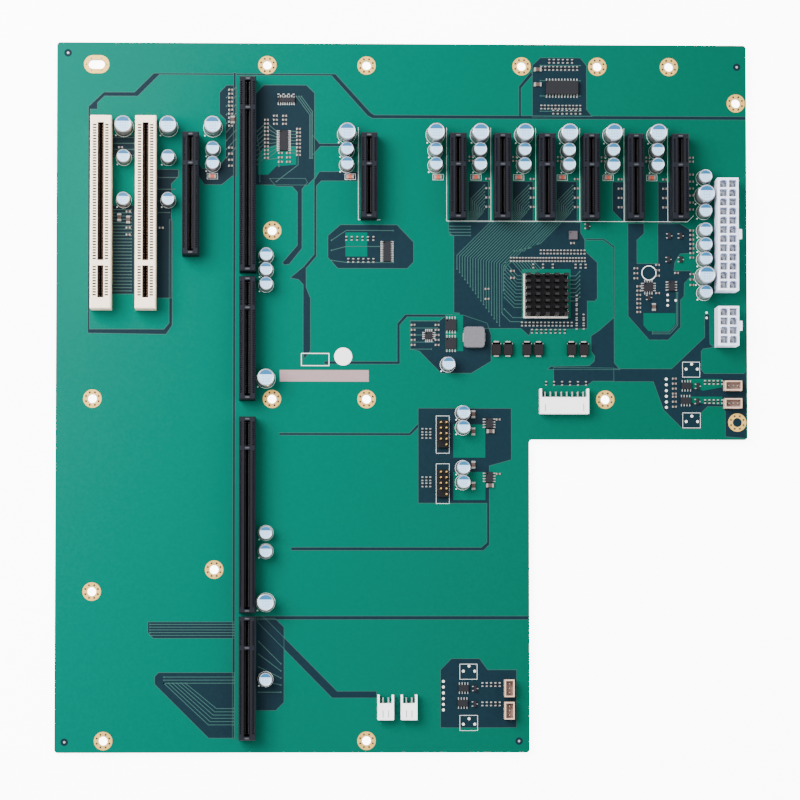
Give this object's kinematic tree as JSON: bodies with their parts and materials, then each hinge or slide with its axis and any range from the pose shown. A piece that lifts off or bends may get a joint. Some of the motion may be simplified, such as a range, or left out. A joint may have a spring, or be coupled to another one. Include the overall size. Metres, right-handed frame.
{
  "type": "passive backplane",
  "caption": "L-shaped backplane board with card edge slots, a host board's connector column and power headers; it joins cards to a host board in an industrial chassis.",
  "frame": {"origin": "centre of the overall box in X and Y, at the tips of the solder tails", "axes": "+Z off the component side, +Y up the board towards the slots' end, +X across the slots towards the power headers"},
  "size_m": [0.3164, 0.3246, 0.0166],
  "materials": {
    "board": "satin",
    "black_housing": "matte",
    "ivory_housing": "satin",
    "power_housing": "satin",
    "white_housing": "satin",
    "beige_housing": "satin",
    "pin_base": "matte",
    "tinned_metal": "satin",
    "gold_pins": "polished",
    "capacitor_can": "satin",
    "heatsink": "matte",
    "inductor_body": "matte",
    "chip_body": "matte"
  },
  "bodies": {
    "root": {"board": "board", "bus_slot_1": "ivory_housing", "bus_slot_2": "ivory_housing", "centre_link_driver": "chip_body", "clock_buffer": "chip_body", "clock_source": "chip_body", "eight_lane_slot": "black_housing", "eight_way_header": "white_housing", "eight_way_pins": "tinned_metal", "fan_controllers": "chip_body", "fan_header_1": "pin_base", "fan_header_2": "pin_base", "fan_pins_1": "gold_pins", "fan_pins_2": "gold_pins", "four_lane_slot_1": "black_housing", "four_lane_slot_2": "black_housing", "four_lane_slot_3": "black_housing", "four_lane_slot_4": "black_housing", "four_lane_slot_5": "black_housing", "four_lane_slot_6": "black_housing", "four_lane_slot_7": "black_housing", "heatsink": "heatsink", "host_connector_a": "black_housing", "host_connector_b": "black_housing", "host_connector_c": "black_housing", "host_connector_d": "black_housing", "host_power_cell_walls": "power_housing", "host_power_header": "power_housing", "host_power_pins": "tinned_metal", "inductor": "inductor_body", "inductor_terminals": "tinned_metal", "large_capacitors_host": "capacitor_can", "large_capacitors_left": "capacitor_can", "large_capacitors_power": "capacitor_can", "large_capacitors_slot": "capacitor_can", "left_link_driver": "chip_body", "main_power_cell_walls": "power_housing", "main_power_header": "power_housing", "main_power_pins": "tinned_metal", "power_monitor": "chip_body", "power_transistors": "chip_body", "regulator_chip": "chip_body", "reset_chip": "chip_body", "sensor_1_header": "beige_housing", "sensor_2_header": "beige_housing", "sensor_3_header": "beige_housing", "sensor_4_header": "beige_housing", "sensor_pins": "tinned_metal", "small_capacitors_fan": "capacitor_can", "small_capacitors_host": "capacitor_can", "small_capacitors_left": "capacitor_can", "small_capacitors_power": "capacitor_can", "small_capacitors_slot": "capacitor_can", "switch_chip": "chip_body", "tantalum_capacitors": "chip_body", "top_link_driver": "chip_body", "two_way_1_header": "white_housing", "two_way_1_pins": "tinned_metal", "two_way_2_header": "white_housing", "two_way_2_pins": "tinned_metal"}
  },
  "joints": []
}
